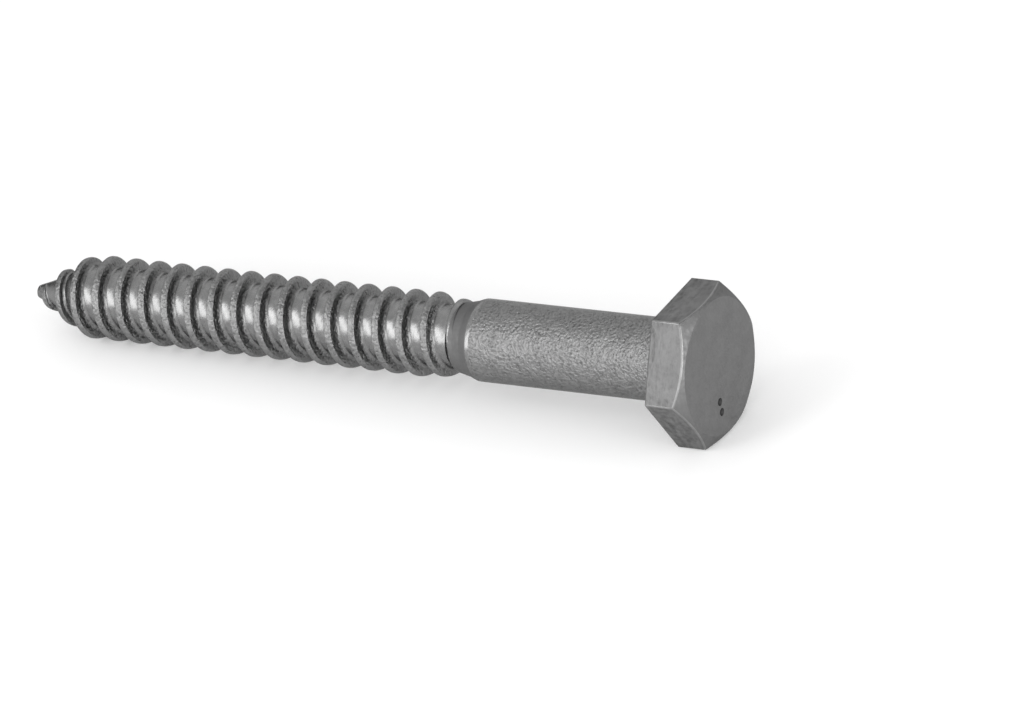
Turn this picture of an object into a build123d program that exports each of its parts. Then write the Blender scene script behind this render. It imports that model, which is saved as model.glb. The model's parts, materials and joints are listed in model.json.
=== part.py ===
"""Hexagon-head lag screw, laid on its side the way it comes to rest.

The screw is drawn along its own axis first. Its bearing face is at x = 0, the head is on the +X side
and the point on the -X side, so that a depth below the bearing face is -x. It is then tipped until one
flat of the head and the crest of the thread both touch the ground, and the origin goes to the middle of
the bottom of its box.
"""

import os
from math import atan2, ceil, cos, degrees, pi, radians, sin, tan

from build123d import *

# Head
across_flats = 17.0
head_height = 4.7
end_circle_diameter = 16.2
chamfer_angle = 30.0
washer_face_diameter = 15.8
washer_face_height = 0.4
under_head_taper = 0.8

# Shank and neck: depths are below the bearing face
length_under_head = 90.0
shank_diameter = 9.8
shank_length = 26.4
shoulder_length = 1.3
neck_diameter = 8.6
neck_length = 1.4
neck_cone_length = 1.0

# Thread
thread_diameter = 10.2
core_diameter = 7.3
pitch = 3.32
flank_angle = 23.5
thread_start_angle = 26.7
start_height = 0.5
start_turns = 0.4
taper_turns = 2.4
fade_turns = 1.6
fade_drop = 0.85

# Gimlet point
cone_length = 8.0
point_diameter = 1.6

# How the ridge of the thread is built
point_lead = 0.4
shoulder_run_in = 1.6
foot_share = 0.55
pieces_per_turn = 1
points_per_piece = 72


def core_radius(depth):
    """Radius of the threaded core: a cylinder, then the cone of the point."""
    into_cone = max(0.0, depth - (length_under_head - cone_length))
    return core_diameter / 2 - (core_diameter - point_diameter) / 2 * into_cone / cone_length


ridge_first_depth = length_under_head - point_lead
ridge_last_depth = shank_length + shoulder_run_in
turns = (ridge_first_depth - ridge_last_depth) / pitch


def ridge_depth(turn):
    """Depth of the middle of the ridge, turn by turn from the point to the shoulder."""
    return ridge_first_depth - pitch * turn


def crest_radius(turn):
    """Radius of the crest: it rises out of the point's cone and sinks a little before the neck."""
    full_height = (thread_diameter - core_diameter) / 2
    started = min(1.0, turn / start_turns)
    rise = (1 - cos(pi * min(1.0, turn / taper_turns))) / 2
    faded = max(0.0, turn - (turns - fade_turns)) / fade_turns
    height = start_height * started + (full_height - start_height) * rise
    return core_radius(ridge_depth(turn)) + height - fade_drop * faded


def foot_radius(turn):
    """Radius of the ridge's foot, which is sunk deep into the core."""
    return core_radius(ridge_depth(turn)) * foot_share


def foot_width(turn):
    """Half of the ridge's width at its foot, where the flanks have spread from the crest."""
    return (crest_radius(turn) - foot_radius(turn)) * tan(radians(flank_angle))


def helix_edge(radius_of, shift_of, first, last):
    """Edge winding about the screw's axis from one turn to another, its radius and shift set by functions."""
    points = []
    for step in range(points_per_piece + 1):
        turn = first + (last - first) * step / points_per_piece
        angle = radians(thread_start_angle) - 2 * pi * turn
        radius = radius_of(turn)
        points.append(Vector(shift_of(turn) - ridge_depth(turn), radius * sin(angle), radius * cos(angle)))
    return Edge.make_spline(points)


def ridge_piece(first, last):
    """A stretch of the thread's ridge: two flanks that meet in the crest, and a foot inside the core."""
    edges = [
        helix_edge(foot_radius, lambda turn: -foot_width(turn), first, last),
        helix_edge(crest_radius, lambda turn: 0.0, first, last),
        helix_edge(foot_radius, foot_width, first, last),
    ]
    sides = [Face.make_surface_from_curves(edges[i - 1], edges[i]) for i in range(len(edges))]
    ends = [Face(Wire.make_polygon([edge @ place for edge in edges], close=True)) for place in (0, 1)]
    return Solid(Shell(sides + ends))


def thread_ridge():
    """The whole ridge in short stretches that share their end faces."""
    count = ceil(turns * pieces_per_turn)
    return [ridge_piece(turns * i / count, turns * (i + 1) / count) for i in range(count)]


def turned_body():
    """Everything that is round: washer face, shank, shoulder, neck, core and point, turned from one outline."""
    shank = shank_diameter / 2
    neck = neck_diameter / 2
    core = core_diameter / 2
    point = point_diameter / 2
    neck_start = shank_length + shoulder_length
    core_start = neck_start + neck_length + neck_cone_length
    cone_start = length_under_head - cone_length
    outline = [
        Line((washer_face_height, 0), (washer_face_height, washer_face_diameter / 2)),
        Line((washer_face_height, washer_face_diameter / 2), (0, washer_face_diameter / 2)),
        Line((0, washer_face_diameter / 2), (0, shank + under_head_taper)),
        Line((0, shank + under_head_taper), (-under_head_taper, shank)),
        Line((-under_head_taper, shank), (-shank_length, shank)),
        Line((-shank_length, shank), (-neck_start, neck)),
        Line((-neck_start, neck), (-neck_start - neck_length, neck)),
        Line((-neck_start - neck_length, neck), (-core_start, core)),
        Line((-core_start, core), (-cone_start, core)),
        Line((-cone_start, core), (-length_under_head, point)),
        Line((-length_under_head, point), (-length_under_head, 0)),
        Line((-length_under_head, 0), (washer_face_height, 0)),
    ]
    return revolve(make_face(Curve() + outline), Axis.X)


def hexagon_head():
    """Hexagon with a flat below, its outer end turned down to a circle by a chamfer."""
    corner = across_flats / 2 / cos(radians(30))
    outside = across_flats
    end = washer_face_height + head_height
    chamfer_drop = (corner - end_circle_diameter / 2) * tan(radians(chamfer_angle))
    hexagon = Plane.YZ.offset(washer_face_height) * RegularPolygon(across_flats / 2, 6, major_radius=False)
    turned = make_face(
        Polyline(
            (0, 0), (0, outside), (end - chamfer_drop, outside), (end - chamfer_drop, corner),
            (end, end_circle_diameter / 2), (end, 0), close=True,
        )
    )
    return extrude(hexagon, head_height) & revolve(turned, Axis.X)


def resting_tilt():
    """Angle of the axis when the head's lowest edge and the lowest crest of the thread share the ground."""
    first_low_turn = ((thread_start_angle - 180.0) % 360.0) / 360.0
    low_turns = [first_low_turn + i for i in range(int(turns - fade_turns))]
    drops = [
        atan2(across_flats / 2 - crest_radius(turn), ridge_depth(turn) + washer_face_height) for turn in low_turns
    ]
    return degrees(min(drops))


def lay_down(screw):
    """Tip the point down onto the ground and put the origin in the middle of the bottom of the box."""
    tipped = Rotation(0, -resting_tilt(), 0) * screw
    box = tipped.bounding_box()
    return Pos(-box.center().X, -box.center().Y, -box.min.Z) * tipped


lag_screw = lay_down(turned_body().fuse(hexagon_head(), *thread_ridge()))

os.makedirs("parts", exist_ok=True)
export_step(lag_screw, "parts/lag_screw.step")
print("tilt", round(resting_tilt(), 3), "turns", round(turns, 2), "volume", round(lag_screw.volume, 1))
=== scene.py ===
"""Hex-head lag screw with its steel finish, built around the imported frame, and the studio it is shown in."""

import json
from math import atan2, cos, pi, radians, sin, tan

import bmesh
import bpy
from bpy.props import FloatProperty, FloatVectorProperty, IntProperty, PointerProperty
from mathutils import Matrix, Vector


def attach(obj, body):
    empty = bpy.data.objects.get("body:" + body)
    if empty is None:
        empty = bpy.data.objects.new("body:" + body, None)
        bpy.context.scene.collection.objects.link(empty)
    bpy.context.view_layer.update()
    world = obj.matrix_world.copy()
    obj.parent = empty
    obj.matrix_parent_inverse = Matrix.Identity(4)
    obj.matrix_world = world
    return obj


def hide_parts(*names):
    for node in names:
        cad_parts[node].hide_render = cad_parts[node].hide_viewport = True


bl_info = {
    "name": "Lag Screw",
    "version": (1, 0, 0),
    "blender": (4, 5, 0),
    "location": "View3D > Sidebar > Lag Screw",
    "description": "Models a hex-head lag screw with its steel finish and the studio around it",
    "category": "Add Mesh",
}

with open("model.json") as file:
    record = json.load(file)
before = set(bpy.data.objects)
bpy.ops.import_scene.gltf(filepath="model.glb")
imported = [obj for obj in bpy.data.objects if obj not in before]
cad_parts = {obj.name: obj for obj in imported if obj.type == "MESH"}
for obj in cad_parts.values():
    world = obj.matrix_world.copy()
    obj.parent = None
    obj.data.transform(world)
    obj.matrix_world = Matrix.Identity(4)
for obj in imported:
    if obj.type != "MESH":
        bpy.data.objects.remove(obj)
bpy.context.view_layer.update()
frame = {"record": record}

MM = 0.001
MOUNTS = {mount["name"]: mount for mount in frame["record"]["mounts"]}
SHANK = MOUNTS["shank"]["dims"]
THREAD = MOUNTS["wood_thread"]["dims"]
AXIS = Vector(MOUNTS["head_end"]["axis"]).normalized()
HEAD_END = Vector(MOUNTS["head_end"]["pos_m"])

# Doubled vertices closer than the first are merged; a cut takes those closer than the second as lying on it
MERGE_WITHIN = 0.002 * MM
CUT_WITHIN = 0.0005 * MM

# Edges of the finished screw sharper than this stay sharp
SMOOTH_ANGLE = radians(28)

# Way in which the pointed end is bent aside: across, up
BEND = (-0.58, -0.82)

# Finishes in the order of the material slots, lengths in millimetres: size and depth of the grain, change of
# tone with the grain, size of the blotches, change of tone with the blotches, stretch of the grain
EVEN = (1.0, 1.0, 1.0)
FINISHES = {
    "forged_head": (0.5, 0.02, 0.04, 2.5, 0.05, EVEN),
    "tumbled_shank": (0.36, 0.2, 0.2, 1.8, 0.08, EVEN),
    "rolled_thread": (0.6, 0.02, 0.06, 1.2, 0.08, EVEN),
    "pitted_flank": (0.4, 0.17, 0.16, 1.2, 0.08, EVEN),
    "worn_edge": (0.6, 0.01, 0.05, 1.2, 0.08, EVEN),
    # The dents' finish carries painted shade: the steel's colour is darkened inside the two dents of the head
    "painted_shade_dent": (0.6, 0.01, 0.05, 1.2, 0.08, EVEN),
    "sheared_flat": (0.7, 0.12, 0.22, 2.5, 0.08, (1.0, 0.3, 0.3)),
}
SLOTS = {name: slot for slot, name in enumerate(FINISHES)}

# Range of the grain and of the blotches, share of the cells in the grain, change of roughness with the grain
GRAIN_RANGE = (0.45, 0.85)
BLOTCH_RANGE = (0.35, 0.65)
CELL_SHARE = 0.4
ROUGHNESS_CHANGE = 0.15
EDGE_TINT = (0.55, 0.55, 0.55, 1.0)

# How faces of the head are told apart by the X of their normal, and flats by how far they are turned
FLAT_NORMAL = 0.02
CHAMFER_NORMAL = (0.84, 0.89)
END_NORMAL = 0.999
DENT_NORMAL = 0.1
FLAT_TURN = 0.03
RIM_SHARE = 0.9

# Roughness of the sheared flats as a share of the forged head's
FLAT_GLOSS = 0.85

# Limits of the finishes along the axis, and the height at which the flank of the ridge begins
BRIGHT_EDGE = 0.4 * MM
PAST_SHANK = 0.02 * MM
RUN_OUT = 4.5 * MM
FLANK_HEIGHT = 0.15 * MM

# Lamps: name, width and height in metres, azimuth from +Y toward +X and elevation in degrees
LAMPS = (
    ("key_lamp", 0.3, 0.9, 211, 29),
    ("side_lamp", 0.7, 0.4, 90, 8),
    ("front_lamp", 1.1, 0.45, 154, 20),
)
LAMP_DISTANCE = 0.9

# Floor: side in metres, grey of its paint, glow that lifts it to white where it is seen
FLOOR_SIDE = 6.0
FLOOR_GREY = 0.8
FLOOR_GLOW = 0.17

# Uneven parts of the surroundings: direction, cosines where each starts and is full, brightness there
UNEVEN_SKY = (
    ((0.70, 0.70, 0.10), 0.72, 0.95, 0.3),
    ((0.32, 0.15, 0.93), 0.82, 0.97, 0.35),
    ((-0.87, 0.45, 0.12), 0.86, 0.97, 0.25),
    ((-0.50, 0.70, 0.50), 0.80, 0.97, 1.2),
)

# Places of the dents on the end of the head, across and up, in millimetres
DENTS = ((-1.49, -3.91), (-1.51, -5.25))


# Settings

class ScrewSizes(bpy.types.PropertyGroup):
    """Sizes of the screw."""

    across_flats: FloatProperty(
        name="Across flats", description="Width of the hexagon", default=17.0 * MM, unit="LENGTH")
    head_height: FloatProperty(
        name="Head height", description="Height of the hexagon", default=4.7 * MM, unit="LENGTH")
    end_circle: FloatProperty(
        name="End circle", description="Diameter of the flat end inside the chamfer", default=16.2 * MM,
        unit="LENGTH")
    chamfer_angle: FloatProperty(
        name="Chamfer angle", description="Slope of the chamfer on the head", default=radians(30.0),
        subtype="ANGLE")
    washer_face: FloatProperty(
        name="Washer face", description="Diameter of the raised ring under the head", default=15.8 * MM,
        unit="LENGTH")
    washer_height: FloatProperty(
        name="Washer height", description="Height of the raised ring under the head", default=0.4 * MM,
        unit="LENGTH")
    head_edge: FloatProperty(
        name="Head edge", description="Rounding of the edges of the head", default=0.15 * MM, unit="LENGTH")
    dent_radius: FloatProperty(
        name="Dent radius", description="Radius of the ball that fits the dents", default=0.7 * MM,
        unit="LENGTH")
    dent_depth: FloatProperty(
        name="Dent depth", description="Depth of the two small dents in the head", default=0.2 * MM,
        unit="LENGTH")
    length: FloatProperty(
        name="Length", description="Length under the head", default=90.0 * MM, unit="LENGTH")
    shank_diameter: FloatProperty(
        name="Shank diameter", description="Diameter of the plain shank", default=2 * SHANK["r_mm"] * MM,
        unit="LENGTH")
    shank_length: FloatProperty(
        name="Shank length", description="Length of the plain shank", default=26.4 * MM, unit="LENGTH")
    under_head: FloatProperty(
        name="Under head", description="Fillet between the head and the shank", default=0.8 * MM,
        unit="LENGTH")
    shoulder_length: FloatProperty(
        name="Shoulder length", description="Length of the step from the shank to the neck",
        default=1.3 * MM, unit="LENGTH")
    neck_diameter: FloatProperty(
        name="Neck diameter", description="Diameter of the collar before the thread", default=8.6 * MM,
        unit="LENGTH")
    neck_length: FloatProperty(
        name="Neck length", description="Length of the collar before the thread", default=1.4 * MM,
        unit="LENGTH")
    neck_cone: FloatProperty(
        name="Neck cone", description="Length of the step from the collar to the core", default=1.0 * MM,
        unit="LENGTH")
    thread_diameter: FloatProperty(
        name="Thread diameter", description="Diameter over the thread",
        default=(2 * THREAD["r_mm"] - 0.02) * MM,
        unit="LENGTH")
    core_diameter: FloatProperty(
        name="Core diameter", description="Diameter of the core of the thread", default=7.3 * MM,
        unit="LENGTH")
    pitch: FloatProperty(
        name="Pitch", description="Distance from one ridge to the next", default=3.32 * MM, unit="LENGTH")
    crest_flat: FloatProperty(
        name="Crest", description="How far the top of the ridge reaches toward the point", default=0.12 * MM,
        unit="LENGTH")
    ridge_foot: FloatProperty(
        name="Foot", description="Width of the ridge at its foot on the side of the point", default=0.62 * MM,
        unit="LENGTH")
    crown_radius: FloatProperty(
        name="Crown radius", description="Rounding of the top of the ridge", default=0.80 * MM, unit="LENGTH")
    crown_width: FloatProperty(
        name="Crown width", description="How far the rounded top reaches toward the head",
        default=0.60 * MM, unit="LENGTH")
    slope_foot: FloatProperty(
        name="Slope foot", description="Width of the ridge at its foot on the side of the head",
        default=0.68 * MM, unit="LENGTH")
    root_fillet: FloatProperty(
        name="Root fillet", description="Rounding at the foot of the ridge on the side of the head",
        default=0.58 * MM, unit="LENGTH")
    root_hollow: FloatProperty(
        name="Root hollow", description="How far the root is hollowed between the ridges", default=0.05 * MM,
        unit="LENGTH")
    start_angle: FloatProperty(
        name="Start angle", description="Where the ridge starts, from straight up", default=radians(20.0),
        subtype="ANGLE")
    start_depth: FloatProperty(
        name="Start depth", description="How far under the head the ridge starts", default=89.6 * MM,
        unit="LENGTH")
    start_height: FloatProperty(
        name="Start height", description="Height the ridge gains at once at the point", default=0.5 * MM,
        unit="LENGTH")
    start_turns: FloatProperty(
        name="Start turns", description="Turns in which the ridge gains its first height", default=0.4)
    taper_turns: FloatProperty(
        name="Taper turns", description="Turns in which the ridge rises to its full height", default=2.4)
    fade_turns: FloatProperty(
        name="Fade turns", description="Turns in which the ridge sinks before the neck", default=1.6)
    fade_drop: FloatProperty(
        name="Fade drop", description="How far the ridge sinks before the neck", default=0.85 * MM,
        unit="LENGTH")
    run_in: FloatProperty(
        name="Run in", description="How far from the shank the ridge ends, inside the step",
        default=1.6 * MM, unit="LENGTH")
    cone_length: FloatProperty(
        name="Cone length", description="Length of the pointed end", default=8.0 * MM, unit="LENGTH")
    point_drop: FloatProperty(
        name="Point drop", description="How far the pointed end is bent aside", default=0.15 * MM,
        unit="LENGTH")
    point_diameter: FloatProperty(
        name="Point diameter", description="Diameter of the blunt end", default=1.6 * MM, unit="LENGTH")


class ScrewFinish(bpy.types.PropertyGroup):
    """Colours and surface of the steel."""

    steel: FloatVectorProperty(
        name="Steel", description="Colour of the steel", default=(0.215, 0.215, 0.215), subtype="COLOR",
        min=0.0, max=1.0)
    head_shade: FloatProperty(
        name="Head shade", description="Share of the steel's colour that the forged head keeps", default=0.80,
        subtype="FACTOR", min=0.0, max=1.0)
    shank_roughness: FloatProperty(
        name="Shank roughness", description="Roughness of the tumbled shank", default=0.31,
        subtype="FACTOR", min=0.0, max=1.0)
    thread_roughness: FloatProperty(
        name="Thread roughness", description="Roughness of the rolled thread", default=0.25,
        subtype="FACTOR", min=0.0, max=1.0)
    flank_roughness: FloatProperty(
        name="Flank roughness", description="Roughness of the pitted flanks of the thread", default=0.30,
        subtype="FACTOR", min=0.0, max=1.0)
    edge: FloatVectorProperty(
        name="Edge", description="Colour of the worn edges of the head", default=(0.24, 0.24, 0.24),
        subtype="COLOR", min=0.0, max=1.0)
    # Painted shade: this share darkens the steel's colour inside the dents of the head
    dent_shade: FloatProperty(
        name="Dent shade", description="Share of the steel's colour left in the dents of the head",
        default=0.22,
        subtype="FACTOR", min=0.0, max=1.0)
    edge_roughness: FloatProperty(
        name="Edge roughness", description="Roughness of the worn edges of the head", default=0.35,
        subtype="FACTOR", min=0.0, max=1.0)
    head_roughness: FloatProperty(
        name="Head roughness", description="Roughness of the forged head", default=0.6,
        subtype="FACTOR", min=0.0, max=1.0)


class StageSettings(bpy.types.PropertyGroup):
    """Camera and lamps."""

    azimuth: FloatProperty(
        name="Azimuth", description="Direction the camera looks in, from +Y", default=radians(-34.67),
        subtype="ANGLE")
    elevation: FloatProperty(
        name="Elevation", description="How far the camera looks down", default=radians(30.04),
        subtype="ANGLE")
    roll: FloatProperty(
        name="Roll", description="Turn of the camera about its view", default=radians(-10.35),
        subtype="ANGLE")
    distance: FloatProperty(
        name="Distance", description="From the camera to the middle of the view", default=0.8521,
        unit="LENGTH")
    target: FloatVectorProperty(
        name="Target", description="Middle of the view", default=(0.01543, 0.00596, 0.00129),
        subtype="TRANSLATION")
    lens: FloatProperty(
        name="Lens", description="Focal length in millimetres", default=251.78, subtype="DISTANCE_CAMERA")
    sky: FloatProperty(name="Sky", description="Brightness of the white surroundings", default=1.0)
    key_power: FloatProperty(name="Key", description="Power of the lamp at the left", default=3.0,
                             unit="POWER")
    side_power: FloatProperty(name="Side", description="Power of the lamp at the right", default=6.0,
                              unit="POWER")
    front_power: FloatProperty(name="Front", description="Power of the lamp in front", default=2.7,
                               unit="POWER")
    turn_steps: IntProperty(name="Steps", description="Faces around the screw", default=114, min=24)


# Modelling helpers

def deselect():
    """Leave edit mode with nothing selected."""
    if bpy.context.object and bpy.context.object.mode == "EDIT":
        bpy.ops.object.mode_set(mode="OBJECT")
    bpy.ops.object.select_all(action="DESELECT")


def choose(piece):
    """Make a piece the only selected and active object."""
    deselect()
    piece.select_set(True)
    bpy.context.view_layer.objects.active = piece


def drawn_line(name, points):
    """A chain of edges through points (x, radius) in the XZ plane, drawn by extruding one vertex."""
    deselect()
    first = Vector((points[0][0], 0.0, points[0][1]))
    bpy.ops.mesh.primitive_plane_add(size=MM, location=first)
    line = bpy.context.object
    line.name = name
    bpy.ops.object.transform_apply(location=True, rotation=True, scale=True)
    bpy.ops.object.mode_set(mode="EDIT")
    bpy.ops.mesh.merge(type="CENTER")
    last = first
    for x, radius in points[1:]:
        place = Vector((x, 0.0, radius))
        bpy.ops.mesh.extrude_region_move(TRANSFORM_OT_translate={"value": place - last})
        last = place
    bpy.ops.object.mode_set(mode="OBJECT")
    return line


def close_skin(piece):
    """Merge doubled vertices, fill what holes are left and turn every face outwards."""
    choose(piece)
    bpy.ops.object.mode_set(mode="EDIT")
    bpy.ops.mesh.select_all(action="SELECT")
    bpy.ops.mesh.remove_doubles(threshold=MERGE_WITHIN)
    bpy.ops.mesh.fill_holes(sides=0)
    bpy.ops.mesh.select_all(action="SELECT")
    bpy.ops.mesh.normals_make_consistent(inside=False)
    bpy.ops.object.mode_set(mode="OBJECT")


def apply_modifier(piece, kind, **values):
    """Add a modifier, set its values and apply it."""
    choose(piece)
    modifier = piece.modifiers.new(kind.title(), kind)
    for name, value in values.items():
        setattr(modifier, name, value)
    bpy.ops.object.modifier_apply(modifier=modifier.name)


def combine(piece, tool, operation):
    """Cut, join or keep the overlap of two closed pieces; the tool piece is used up."""
    apply_modifier(piece, "BOOLEAN", operation=operation, solver="EXACT", object=tool)
    bpy.data.objects.remove(tool)


def smooth(share):
    """Soft step: 0 below 0, 1 above 1, level at both ends."""
    share = min(1.0, max(0.0, share))
    return share * share * (3 - 2 * share)


def eased(share, ease):
    """Straight fall from 1 to 0, rounded off over a part of its length at both ends."""
    share = min(1.0, max(0.0, share))
    if share < ease:
        return 1 - share * share / (2 * ease * (1 - ease))
    if share > 1 - ease:
        return (1 - share) ** 2 / (2 * ease * (1 - ease))
    return 1 - (share - ease / 2) / (1 - ease)


# The screw, drawn along its own axis with the bearing face at x = 0 and the head on the +X side

def core_radius(sizes, depth):
    """Radius of the threaded core: a cylinder, then the cone of the point."""
    into_cone = max(0.0, depth - (sizes.length - sizes.cone_length)) / sizes.cone_length
    return sizes.core_diameter / 2 - (sizes.core_diameter - sizes.point_diameter) / 2 * into_cone


def spun(steps, name, points):
    """A closed turned piece from its outline."""
    piece = drawn_line(name, points)
    choose(piece)
    bpy.ops.object.mode_set(mode="EDIT")
    bpy.ops.mesh.select_all(action="SELECT")
    bpy.ops.mesh.spin(steps=steps, angle=2 * pi, center=(0, 0, 0), axis=(1, 0, 0))
    bpy.ops.object.mode_set(mode="OBJECT")
    close_skin(piece)
    return piece


def arc_points(middle_x, middle_radius, radius, first, last, count=6):
    """Points of an arc in an outline; angles are in degrees from +X toward the rim."""
    angles = [radians(first + (last - first) * i / count) for i in range(count + 1)]
    return [(middle_x + radius * cos(a), middle_radius + radius * sin(a)) for a in angles]


def fall(x, length, high, low, ease, count):
    """Points (x, radius) of a rounded-off fall from one radius to a lower one, toward the point."""
    return [(x - length * i / count, low + (high - low) * eased(i / count, ease)) for i in range(count + 1)]


def turned_body(sizes, steps):
    """Washer face, shank, shoulder and neck."""
    shank = sizes.shank_diameter / 2
    neck = sizes.neck_diameter / 2
    core = sizes.core_diameter / 2
    washer = sizes.washer_face / 2
    neck_start = sizes.shank_length + sizes.shoulder_length
    neck_end = neck_start + sizes.neck_length
    core_start = neck_end + sizes.neck_cone
    washer_edge = 0.12 * MM
    shank_edge = 0.45 * MM
    inside_head = sizes.washer_height + sizes.head_height / 2
    count = 14
    narrow = neck - 0.1 * MM
    top = neck + 0.2 * MM
    buried = core - 0.06 * MM
    sunk = core - 0.3 * MM
    inside_rod = -core_start - sizes.pitch
    shoulder = fall(-sizes.shank_length, sizes.shoulder_length, shank, top, 0.15, count)
    step = fall(-neck_end, sizes.neck_cone, narrow, buried, 0.3, count)
    points = [(inside_head, 0.0), (inside_head, washer - washer_edge), (washer_edge, washer)]
    points += arc_points(washer_edge, washer - washer_edge, washer_edge, 90, 180)
    points += arc_points(-sizes.under_head, shank + sizes.under_head, sizes.under_head, 0, -90)
    points += [(-sizes.shank_length + shank_edge, shank)] + shoulder + step
    points += [(inside_rod, sunk), (inside_rod, 0.0)]
    return spun(steps, "turned_body", points)


def hexagon_head(sizes, steps):
    """Hexagon with a flat below, its outer end turned down by a chamfer, its edges a little rounded."""
    corner = sizes.across_flats / 2 / cos(radians(30))
    end = sizes.washer_height + sizes.head_height
    middle = sizes.washer_height + sizes.head_height / 2
    drop = (corner - sizes.end_circle / 2) * tan(sizes.chamfer_angle)
    deselect()
    bpy.ops.mesh.primitive_cylinder_add(
        vertices=6, radius=corner, depth=sizes.head_height, location=(middle, 0, 0), rotation=(0, pi / 2, 0))
    head = bpy.context.object
    head.name = "head"
    bpy.ops.object.transform_apply(location=True, rotation=True, scale=True)
    choose(head)
    bpy.ops.object.mode_set(mode="EDIT")
    bpy.ops.mesh.select_all(action="SELECT")
    lowest = min(vertex.co.z for vertex in bmesh.from_edit_mesh(head.data).verts)
    corner_below = abs(lowest + corner) < 0.01 * MM
    if corner_below:
        bpy.ops.transform.rotate(
            value=radians(30), orient_axis="X", orient_type="GLOBAL", center_override=(0, 0, 0))
    bpy.ops.object.mode_set(mode="OBJECT")
    wide = corner + MM
    outline = [(-MM, 0), (-MM, wide), (end - drop - MM * tan(sizes.chamfer_angle), wide),
               (end, sizes.end_circle / 2), (end, 0)]
    combine(head, spun(steps, "chamfer", outline), "INTERSECT")
    apply_modifier(
        head, "BEVEL", width=sizes.head_edge, segments=3, limit_method="ANGLE", angle_limit=radians(35))
    for vertex in head.data.vertices:
        reach = (vertex.co.y ** 2 + vertex.co.z ** 2) ** 0.5
        if reach > corner:
            vertex.co.yz *= corner / reach
    for across, up in DENTS:
        combine(head, dent(sizes, end, across * MM, up * MM), "DIFFERENCE")
    return head


def dent(sizes, end, across, up):
    """Ball that leaves a shallow dent in the end of the head."""
    deselect()
    bpy.ops.mesh.primitive_uv_sphere_add(
        segments=24, ring_count=12, radius=sizes.dent_radius,
        location=(end + sizes.dent_radius - sizes.dent_depth, across, up))
    ball = bpy.context.object
    bpy.ops.object.transform_apply(location=True, rotation=True, scale=True)
    return ball


def ridge_outline(sizes):
    """One pitch of the thread: steep side, crown that falls toward the head, side, filleted root, valley."""
    core = sizes.core_diameter / 2
    hollow = sizes.root_hollow
    base = core + hollow
    top = sizes.thread_diameter / 2
    low, high = -sizes.ridge_foot, sizes.slope_foot
    near, far = -sizes.crest_flat, sizes.crown_width
    brow = top - far * far / (2 * sizes.crown_radius)
    fillet = sizes.root_fillet
    start = high + fillet
    valley = sizes.pitch - start + low
    curve_count, crown_count, side_count = 8, 10, 4
    back = fall(near, near - low, top, base, 0.3, curve_count)
    crown = []
    for i in range(crown_count + 1):
        x = far * i / crown_count
        crown.append((x, top - x ** 2 / (2 * sizes.crown_radius)))
    side = []
    for i in range(1, side_count):
        side.append((far + (high - far) * i / side_count, brow + (base + fillet - brow) * i / side_count))
    side += arc_points(start, base + fillet, fillet, 180, 270, curve_count)
    floor = []
    for i in range(1, curve_count):
        floor.append((start + valley * i / curve_count, core + hollow * (2 * i / curve_count - 1) ** 2))
    return list(reversed(back)) + crown + side + floor + [(low + sizes.pitch, base)]


def shape_ridge(sizes, rod, first_x, start_x):
    """Let the ridge rise out of the point's cone and sink a little before the neck."""
    height = (sizes.thread_diameter - sizes.core_diameter) / 2
    last_turn = (-(sizes.shank_length + sizes.run_in) - first_x) / sizes.pitch
    for vertex in rod.data.vertices:
        x, y, z = vertex.co
        radius = (y * y + z * z) ** 0.5
        passed = (x - start_x) / sizes.pitch + atan2(y, z) / (2 * pi)
        crest_x = x - (passed - round(passed)) * sizes.pitch
        turn = (crest_x - first_x) / sizes.pitch
        started = min(1.0, max(0.0, turn / sizes.start_turns))
        rise = (1 - cos(pi * min(1.0, max(0.0, turn / sizes.taper_turns)))) / 2
        faded = min(1.0, max(0.0, (turn - last_turn + sizes.fade_turns) / sizes.fade_turns))
        share = (radius - sizes.core_diameter / 2) / height
        raised = started * sizes.start_height + (height - sizes.start_height) * rise
        new_radius = core_radius(sizes, -x) + share * (raised - sizes.fade_drop * faded)
        drop = sizes.point_drop * smooth(1 + (-x - sizes.length) / sizes.cone_length)
        vertex.co = (x, y / radius * new_radius + BEND[0] * drop, z / radius * new_radius + BEND[1] * drop)


def trim_end(piece, x, keep):
    """Cut a piece square across the axis and close the cut; keep is +1 for the +X side, -1 for the other."""
    choose(piece)
    bpy.ops.object.mode_set(mode="EDIT")
    bpy.ops.mesh.select_all(action="SELECT")
    bpy.ops.mesh.bisect(
        plane_co=(x, 0, 0), plane_no=(keep, 0, 0), use_fill=True, clear_inner=True, threshold=CUT_WITHIN)
    bpy.ops.object.mode_set(mode="OBJECT")


def threaded_rod(sizes, steps):
    """Core and ridge in one skin, wound about the axis, then shaped to the point and the neck."""
    first_x = -sizes.start_depth
    rod_end = -(sizes.shank_length + sizes.run_in)
    spare_turns = 2
    start_x = first_x + sizes.pitch * (sizes.start_angle / (2 * pi) - spare_turns)
    turns = int((rod_end - start_x) / sizes.pitch) + spare_turns
    rod = drawn_line("threaded_rod", [(start_x + x, r) for x, r in ridge_outline(sizes)])
    apply_modifier(
        rod, "SCREW", axis="X", angle=2 * pi, screw_offset=sizes.pitch, iterations=turns, steps=steps,
        render_steps=steps, use_merge_vertices=True, merge_threshold=MERGE_WITHIN)
    shape_ridge(sizes, rod, first_x, start_x)
    trim_end(rod, -sizes.length, 1)
    trim_end(rod, rod_end, -1)
    close_skin(rod)
    return rod


def own_place(sizes):
    """Matrix from the screw's own axis to where the frame has it."""
    x_axis = AXIS
    y_axis = Vector((0, 1, 0))
    z_axis = x_axis.cross(y_axis)
    bearing = HEAD_END - AXIS * (sizes.washer_height + sizes.head_height)
    turned = Matrix((x_axis, y_axis, z_axis)).transposed().to_4x4()
    return Matrix.Translation(bearing) @ turned


# Materials

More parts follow.
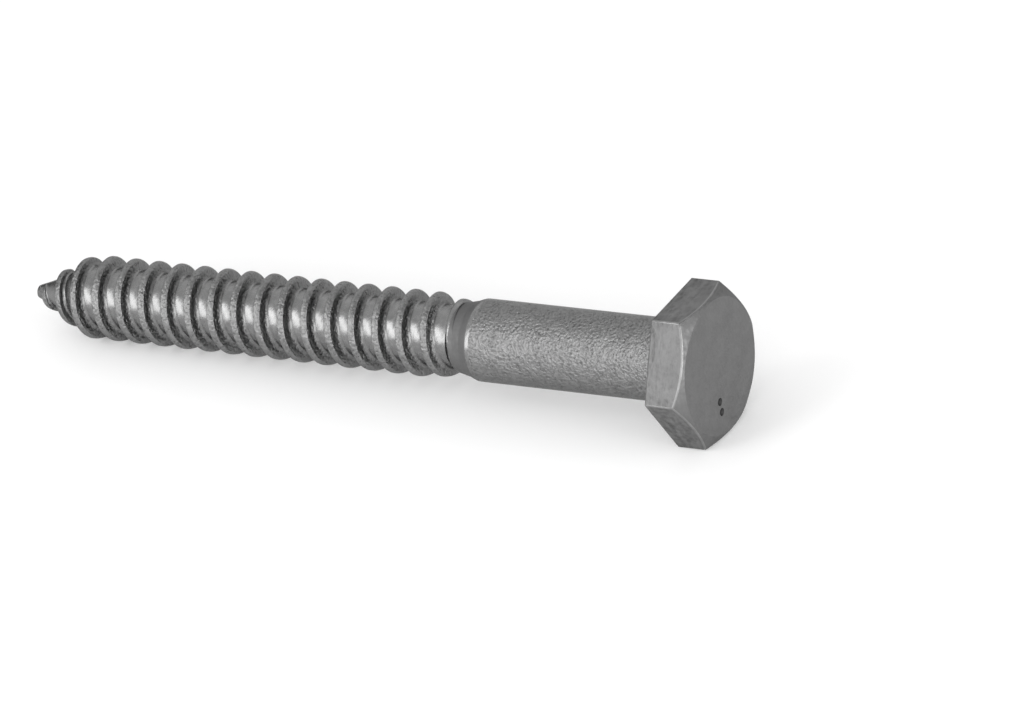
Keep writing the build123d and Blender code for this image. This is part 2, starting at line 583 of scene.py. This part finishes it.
def add(tree, kind, inputs=(), **values):
    """Add a node, set its properties and its inputs; an input may be a value or another node's output."""
    node = tree.nodes.new(kind)
    for name, value in values.items():
        setattr(node, name, value)
    for name, value in dict(inputs).items():
        if isinstance(value, bpy.types.NodeSocket):
            tree.links.new(value, node.inputs[name])
        else:
            node.inputs[name].default_value = value
    return node


def own_coordinates(tree, sizes):
    """Object coordinates turned so that X runs along the screw, in millimetres."""
    place = own_place(sizes).inverted()
    where = add(tree, "ShaderNodeTexCoord").outputs["Object"]
    turned = add(tree, "ShaderNodeMapping", {
        "Vector": where, "Location": place.translation / MM, "Rotation": place.to_euler(),
        "Scale": (1 / MM, 1 / MM, 1 / MM)})
    return turned.outputs["Vector"]


def noise(tree, where, size, detail=3.0, rough=0.6, stretch=(1.0, 1.0, 1.0)):
    """Noise whose lumps are about the given size in millimetres."""
    scaled = add(tree, "ShaderNodeMapping", {"Vector": where, "Scale": stretch}).outputs["Vector"]
    return add(tree, "ShaderNodeTexNoise", {
        "Vector": scaled, "Scale": 1 / size, "Detail": detail, "Roughness": rough}).outputs["Fac"]


def ranged(tree, value, limits, middle, change):
    """Spread a value between limits over a middle less and plus a change."""
    return add(tree, "ShaderNodeMapRange", {
        "Value": value, "From Min": limits[0], "From Max": limits[1], "To Min": middle * (1 - change),
        "To Max": middle * (1 + change)}).outputs["Result"]


def steel(name, sizes, colour, roughness):
    """Steel whose tone, gloss and relief follow a fine grain, with a mottled tone over it."""
    grain_size, grain_depth, grain_shade, blotch_size, blotch_shade, stretch = FINISHES[name]
    material = bpy.data.materials.new(name)
    material.use_nodes = True
    tree = material.node_tree
    shader = tree.nodes["Principled BSDF"]
    where = own_coordinates(tree, sizes)
    grain = noise(tree, where, grain_size, stretch=stretch)
    blotch = noise(tree, where, blotch_size, detail=4.0)
    cells = add(tree, "ShaderNodeTexVoronoi", {"Vector": where, "Scale": 1 / grain_size}).outputs["Distance"]
    grain = add(tree, "ShaderNodeMath", {0: cells, 1: CELL_SHARE, 2: grain},
                operation="MULTIPLY_ADD").outputs[0]
    grain_tone = ranged(tree, grain, GRAIN_RANGE, 1.0, grain_shade)
    blotch_tone = ranged(tree, blotch, BLOTCH_RANGE, 1.0, blotch_shade)
    tone = add(tree, "ShaderNodeMath", {0: grain_tone, 1: blotch_tone}, operation="MULTIPLY")
    dyed = add(tree, "ShaderNodeMix", {"Factor": 1.0, 6: tone.outputs[0], 7: (*colour, 1.0)},
               data_type="RGBA", blend_type="MULTIPLY")
    rough = ranged(tree, grain, GRAIN_RANGE, roughness, ROUGHNESS_CHANGE)
    bump = add(tree, "ShaderNodeBump", {"Height": grain, "Strength": 1.0, "Distance": grain_depth * MM})
    tree.links.new(dyed.outputs[2], shader.inputs["Base Color"])
    tree.links.new(rough, shader.inputs["Roughness"])
    tree.links.new(bump.outputs["Normal"], shader.inputs["Normal"])
    shader.inputs["Metallic"].default_value = 1.0
    shader.inputs["Specular Tint"].default_value = EDGE_TINT
    return material


def is_edge(normal):
    """Whether a face of the head belongs to a rounded edge, not to a flat, the chamfer or an end."""
    if abs(normal.x) < FLAT_NORMAL:
        turned = (atan2(normal.z, normal.y) - pi / 6) / (pi / 3)
        return abs(turned - round(turned)) > FLAT_TURN
    return FLAT_NORMAL < normal.x < CHAMFER_NORMAL[0] or CHAMFER_NORMAL[1] < normal.x < END_NORMAL


def head_finish(normal, radius, sizes):
    """Name of the finish of a face of the head, by its place and the way it looks."""
    rim = RIM_SHARE * sizes.end_circle / 2
    if radius > rim and is_edge(normal):
        return "worn_edge"
    # Faces inside the dents take the darkened colour, which is painted shade in the recess
    if radius < rim and DENT_NORMAL < normal.x < END_NORMAL:
        return "painted_shade_dent"
    if abs(normal.x) < FLAT_NORMAL and radius > sizes.washer_face / 2:
        return "sheared_flat"
    return "forged_head"


def body_finish(depth, radius, sizes):
    """Name of the finish of a face below the head, by its depth and its height on the thread."""
    if depth < sizes.shank_length - BRIGHT_EDGE:
        return "tumbled_shank"
    if depth < sizes.shank_length + PAST_SHANK:
        return "rolled_thread"
    if depth < sizes.shank_length + sizes.shoulder_length + sizes.neck_length:
        return "forged_head"
    if depth < sizes.shank_length + RUN_OUT:
        return "rolled_thread"
    return "pitted_flank" if radius - core_radius(sizes, depth) > FLANK_HEIGHT else "rolled_thread"


def dress(screw, sizes, finish):
    """Give the head, the shank and the thread their own finish, by where each face lies along the axis."""
    head_colour = [value * finish.head_shade for value in finish.steel]
    # Painted shade: the dents get a darker copy of the steel's colour
    dent_colour = [value * finish.dent_shade for value in finish.steel]
    looks = {
        "forged_head": (head_colour, finish.head_roughness),
        "tumbled_shank": (finish.steel, finish.shank_roughness),
        "rolled_thread": (finish.steel, finish.thread_roughness),
        "pitted_flank": (finish.steel, finish.flank_roughness),
        "worn_edge": (finish.edge, finish.edge_roughness),
        "painted_shade_dent": (dent_colour, finish.head_roughness),
        "sheared_flat": (head_colour, FLAT_GLOSS * finish.head_roughness),
    }
    screw.data.materials.clear()
    for name in FINISHES:
        screw.data.materials.append(steel(name, sizes, *looks[name]))
    for face in screw.data.polygons:
        depth = -face.center.x
        radius = (face.center.y ** 2 + face.center.z ** 2) ** 0.5
        if depth < sizes.under_head:
            name = head_finish(face.normal, radius, sizes)
        else:
            name = body_finish(depth, radius, sizes)
        face.material_index = SLOTS[name]


# Operators

class SCREW_OT_build_screw(bpy.types.Operator):
    """Model the screw in one piece and give it its finish"""

    bl_idname = "lag_screw.build_screw"
    bl_label = "Build Screw"
    bl_options = {"REGISTER", "UNDO"}

    def execute(self, context):
        sizes = context.scene.screw_sizes
        steps = context.scene.screw_stage.turn_steps
        screw = turned_body(sizes, steps)
        screw.name = "screw"
        combine(screw, hexagon_head(sizes, steps), "UNION")
        combine(screw, threaded_rod(sizes, steps), "UNION")
        dress(screw, sizes, context.scene.screw_finish)
        choose(screw)
        screw.matrix_world = own_place(sizes)
        bpy.ops.object.transform_apply(location=True, rotation=True, scale=True)
        bpy.ops.object.shade_smooth_by_angle(angle=SMOOTH_ANGLE)
        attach(screw, "root")
        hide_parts("lag_screw")
        return {"FINISHED"}


class SCREW_OT_build_stage(bpy.types.Operator):
    """Set up the white floor, the soft lamps and the camera"""

    bl_idname = "lag_screw.build_stage"
    bl_label = "Build Stage"
    bl_options = {"REGISTER", "UNDO"}

    def execute(self, context):
        stage = context.scene.screw_stage
        floor_under()
        surroundings(context.scene, stage)
        powers = (stage.key_power, stage.side_power, stage.front_power)
        for (name, width, height, azimuth, elevation), power in zip(LAMPS, powers):
            lamp(name, power, width, height, radians(azimuth), radians(elevation))
        aim_camera(context.scene, stage)
        context.scene.view_settings.view_transform = "Standard"
        return {"FINISHED"}


def floor_under():
    """A wide white floor that keeps the shadow of the screw."""
    deselect()
    bpy.ops.mesh.primitive_plane_add(size=FLOOR_SIDE)
    floor = bpy.context.object
    floor.name = "floor"
    material = bpy.data.materials.new("white_floor")
    material.use_nodes = True
    tree = material.node_tree
    tree.nodes.clear()
    rays = add(tree, "ShaderNodeLightPath")
    bent = add(tree, "ShaderNodeMath", {
        0: rays.outputs["Is Glossy Ray"], 1: rays.outputs["Is Transmission Ray"]}, operation="MAXIMUM")
    seen = add(tree, "ShaderNodeMath", {0: rays.outputs["Is Camera Ray"], 1: bent.outputs[0]},
               operation="MAXIMUM")
    paint = add(tree, "ShaderNodeBsdfDiffuse", {"Color": (FLOOR_GREY, FLOOR_GREY, FLOOR_GREY, 1.0)})
    lift = add(tree, "ShaderNodeEmission", {"Color": (1, 1, 1, 1), "Strength": FLOOR_GLOW})
    lifted = add(tree, "ShaderNodeAddShader", {0: paint.outputs[0], 1: lift.outputs[0]})
    mixed = add(tree, "ShaderNodeMixShader", {0: seen.outputs[0], 1: paint.outputs[0], 2: lifted.outputs[0]})
    output = add(tree, "ShaderNodeOutputMaterial", {"Surface": mixed.outputs[0]})
    output.is_active_output = True
    floor.data.materials.append(material)


def surroundings(scene, stage):
    """A white sky that is uneven in the screw's reflections; the camera sees it white all over."""
    world = bpy.data.worlds.new("surroundings")
    scene.world = world
    world.use_nodes = True
    tree = world.node_tree
    background = tree.nodes["Background"]
    where = add(tree, "ShaderNodeTexCoord").outputs["Generated"]
    shade = 1.0
    for direction, wide, narrow, level in UNEVEN_SKY:
        toward = add(tree, "ShaderNodeVectorMath", {0: where, 1: Vector(direction).normalized()},
                     operation="DOT_PRODUCT")
        level_there = add(tree, "ShaderNodeMapRange", {
            "Value": toward.outputs["Value"], "From Min": wide, "From Max": narrow, "To Min": 1.0,
            "To Max": level})
        shade = add(tree, "ShaderNodeMath", {0: shade, 1: level_there.outputs["Result"]},
                    operation="MULTIPLY").outputs[0]
    rays = add(tree, "ShaderNodeLightPath")
    tone = add(tree, "ShaderNodeMix", {"Factor": rays.outputs["Is Camera Ray"], 6: shade, 7: (1, 1, 1, 1)},
               data_type="RGBA")
    tree.links.new(tone.outputs[2], background.inputs["Color"])
    background.inputs["Strength"].default_value = stage.sky


def lamp(name, power, width, height, azimuth, elevation):
    """A soft rectangular lamp at a direction from the screw, facing it; azimuth turns from +Y toward +X."""
    deselect()
    outward = Vector((sin(azimuth) * cos(elevation), cos(azimuth) * cos(elevation), sin(elevation)))
    bpy.ops.object.light_add(type="AREA", location=outward * LAMP_DISTANCE)
    light = bpy.context.object
    light.name = name
    light.rotation_mode = "QUATERNION"
    light.rotation_quaternion = (-outward).to_track_quat("-Z", "Y")
    light.data.shape = "RECTANGLE"
    light.data.size = width
    light.data.size_y = height
    light.data.energy = power


def aim_camera(scene, stage):
    """Camera at its viewing angle, turned about its own view by the roll."""
    deselect()
    look = Vector((
        sin(stage.azimuth) * cos(stage.elevation), cos(stage.azimuth) * cos(stage.elevation),
        -sin(stage.elevation)))
    bpy.ops.object.camera_add(location=Vector(stage.target) - look * stage.distance)
    camera = bpy.context.object
    camera.rotation_mode = "QUATERNION"
    camera.rotation_quaternion = look.to_track_quat("-Z", "Y") @ Matrix.Rotation(
        stage.roll, 3, "Z").to_quaternion()
    camera.data.lens = stage.lens
    camera.data.sensor_width = 36.0
    camera.data.clip_start = 0.01
    camera.data.clip_end = 20.0
    scene.camera = camera


class SCREW_PT_sidebar(bpy.types.Panel):
    """Lists the steps that build the screw and its stage"""

    bl_label = "Lag Screw"
    bl_space_type = "VIEW_3D"
    bl_region_type = "UI"
    bl_category = "Lag Screw"

    def draw(self, context):
        layout = self.layout
        for settings in (context.scene.screw_sizes, context.scene.screw_finish, context.scene.screw_stage):
            box = layout.box()
            for name in settings.__annotations__:
                box.prop(settings, name)
        for operator in (SCREW_OT_build_screw, SCREW_OT_build_stage):
            layout.operator(operator.bl_idname)


CLASSES = (
    ScrewSizes, ScrewFinish, StageSettings, SCREW_OT_build_screw, SCREW_OT_build_stage, SCREW_PT_sidebar)


def register():
    """Register the classes and hang their settings on the scene."""
    for each in CLASSES:
        bpy.utils.register_class(each)
    bpy.types.Scene.screw_sizes = PointerProperty(type=ScrewSizes)
    bpy.types.Scene.screw_finish = PointerProperty(type=ScrewFinish)
    bpy.types.Scene.screw_stage = PointerProperty(type=StageSettings)


def unregister():
    """Take the settings and the classes away again."""
    del bpy.types.Scene.screw_stage
    del bpy.types.Scene.screw_finish
    del bpy.types.Scene.screw_sizes
    for each in reversed(CLASSES):
        bpy.utils.unregister_class(each)


def main():
    """Build everything in order."""
    register()
    bpy.ops.lag_screw.build_screw()
    bpy.ops.lag_screw.build_stage()


if __name__ == "__main__":
    main()
